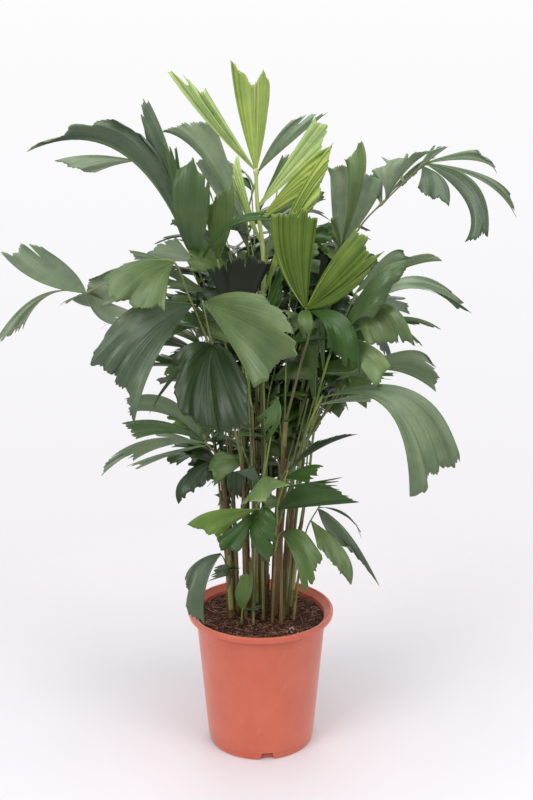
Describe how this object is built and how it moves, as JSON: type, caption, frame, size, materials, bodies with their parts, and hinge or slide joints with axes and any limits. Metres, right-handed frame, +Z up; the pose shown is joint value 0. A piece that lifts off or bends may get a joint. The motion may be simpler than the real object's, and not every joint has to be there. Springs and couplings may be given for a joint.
{
  "type": "potted clustering fishtail palm",
  "caption": "Clustering fishtail palm in a terracotta-coloured nursery pot: a tight clump of green canes with wedge-shaped, ragged-edged leaflets, standing on its own flat base.",
  "frame": {"origin": "centre of the pot's flat underside", "axes": "+Z up along the pot's axis, the side seen in the picture faces -Y, +X to its right"},
  "size_m": [0.8349, 0.5662, 1.1142],
  "materials": {
    "pot": "satin moulded polypropylene, terracotta orange",
    "soil": "dark peat and coir with short fibres",
    "cane": "fibrous green cane with brown sheath edges",
    "leaf": "waxy dark green leaflet, paler beneath",
    "new_leaf": "soft pleated yellow-green new leaflet"
  },
  "bodies": {
    "root": {"pot": "pot", "soil": "soil", "cane_01": "cane", "cane_02": "cane", "cane_03": "cane", "cane_04": "cane", "cane_05": "cane", "cane_06": "cane", "cane_07": "cane", "cane_08": "cane", "cane_09": "cane", "cane_10": "cane", "cane_11": "cane", "cane_12": "cane", "cane_13": "cane", "cane_14": "cane", "cane_15": "cane", "cane_16": "cane", "cane_17": "cane", "cane_18": "cane", "cane_19": "cane", "cane_20": "cane", "cane_21": "cane", "cane_22": "cane", "cane_23": "cane", "cane_24": "cane", "cane_25": "cane", "cane_26": "cane", "cane_27": "cane", "cane_28": "cane", "frond_new": "new_leaf", "frond_top_back": "leaf", "frond_pleated": "new_leaf", "frond_left_high": "leaf", "frond_middle": "leaf", "frond_left": "leaf", "frond_left_low": "leaf", "frond_front": "leaf", "frond_centre": "leaf", "frond_skirt": "leaf", "frond_rim": "leaf", "frond_sprout": "leaf", "frond_right_high": "leaf", "frond_right_back": "leaf", "frond_right": "leaf", "frond_broad": "leaf", "frond_right_low": "leaf", "frond_small": "leaf", "frond_low": "leaf", "frond_inner": "leaf", "frond_far_1": "leaf", "frond_far_2": "leaf", "frond_far_3": "leaf", "frond_far_4": "leaf", "frond_far_5": "leaf", "frond_far_6": "leaf", "frond_far_7": "leaf", "frond_far_8": "leaf"}
  },
  "joints": []
}
